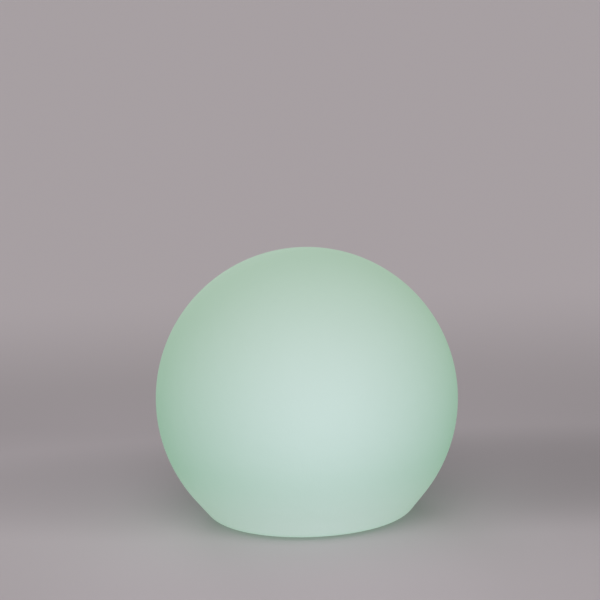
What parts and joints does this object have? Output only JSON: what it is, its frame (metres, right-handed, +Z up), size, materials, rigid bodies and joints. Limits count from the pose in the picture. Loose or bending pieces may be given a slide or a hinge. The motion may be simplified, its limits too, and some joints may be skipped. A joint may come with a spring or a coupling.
{
  "type": "garden globe light",
  "caption": "Frosted round garden light that stands on its flat base, with a globe that unscrews from a sealed rechargeable light module with a power button and a covered charging socket.",
  "frame": {"origin": "bottom centre of the whole light, in the middle of the foot ring's underside", "axes": "+Z up through the top of the globe; +X along the grip bar of the underside, towards the charging socket"},
  "size_m": [0.2, 0.2, 0.1792],
  "materials": {
    "globe_frosted": "fine matte, translucent, lit from inside",
    "cap_plastic": "fine spark texture",
    "foot_rubber": "matte",
    "tower_plastic": "satin",
    "screw_steel": "zinc plated",
    "board_green": "solder mask",
    "board_white": "white solder mask",
    "switch_black": "moulded",
    "contact_metal": "nickel plated",
    "coil_grey": "ferrite",
    "can_aluminium": "plain",
    "connector_white": "nylon",
    "lead_red": "insulation",
    "lead_black": "insulation",
    "cell_wrap": "shrink wrap",
    "cradle_plastic": "satin",
    "foam_grey": "foam",
    "lamp_white": "lamp case with a clear window",
    "receiver_black": "smoked",
    "cable_grey": "flat cable",
    "dome_frosted": "frosted",
    "seal_rubber": "silicone",
    "cover_silicone": "silicone",
    "button_silicone": "silicone",
    "plunger_white": "moulded",
    "pipe_clear": "clear acrylic",
    "charge_lamp_red": "tinted lens"
  },
  "bodies": {
    "base": {"base_cap": "cap_plastic", "foot_ring": "foot_rubber", "light_tower": "tower_plastic", "case_screws": "screw_steel", "control_board": "board_green", "board_screws": "screw_steel", "switch_body": "switch_black", "charging_socket": "switch_black", "socket_pin": "contact_metal", "control_chip": "switch_black", "power_coil": "coil_grey", "capacitors": "can_aluminium", "lamp_drivers": "switch_black", "battery_header": "connector_white", "battery_plug": "connector_white", "battery_lead_positive": "lead_red", "battery_lead_negative": "lead_black", "battery_cell": "cell_wrap", "battery_tabs": "contact_metal", "battery_cradle": "cradle_plastic", "cradle_screws": "screw_steel", "battery_pad": "foam_grey", "light_board": "board_white", "lamps": "lamp_white", "remote_receiver": "receiver_black", "light_board_screws": "screw_steel", "cable_headers": "connector_white", "light_cable": "cable_grey", "light_dome": "dome_frosted", "dome_seal": "seal_rubber", "cover_root": "cover_silicone", "button_retainer": "tower_plastic", "light_pipe": "pipe_clear", "charge_lamp": "charge_lamp_red"},
    "flat_gasket": {"flat_gasket": "seal_rubber"},
    "corner_ring": {"corner_ring_seal": "seal_rubber"},
    "globe": {"globe_shell": "globe_frosted"},
    "power_button": {"power_button": "button_silicone", "switch_plunger": "plunger_white"},
    "socket_cover": {"socket_cover": "cover_silicone"}
  },
  "joints": [
    {"name": "globe_lift_off", "type": "slide", "parent": "base", "child": "flat_gasket", "axis": [0, 0, 1], "range_m": [0, 0.09]},
    {"name": "globe_rise", "type": "slide", "parent": "flat_gasket", "child": "corner_ring", "axis": [0, 0, 1], "range_m": [0, 0.01]},
    {"name": "globe_turn", "type": "hinge", "parent": "corner_ring", "child": "globe", "pos_m": [0, 0, 0.05], "axis": [0, 0, 1], "range_deg": [0, 720]},
    {"name": "button_press", "type": "slide", "parent": "base", "child": "power_button", "axis": [0, 0, 1], "range_m": [0, 0.0005], "stiffness_N_per_m": 4000},
    {"name": "socket_cover_swing", "type": "hinge", "parent": "base", "child": "socket_cover", "pos_m": [0.0155, 0, 0.002], "axis": [0, 1, 0], "range_deg": [0, 95]}
  ],
  "couplings": [
    {"joint": "globe_rise", "follows": "globe_turn", "m_per_rad": 0.00079577}
  ]
}
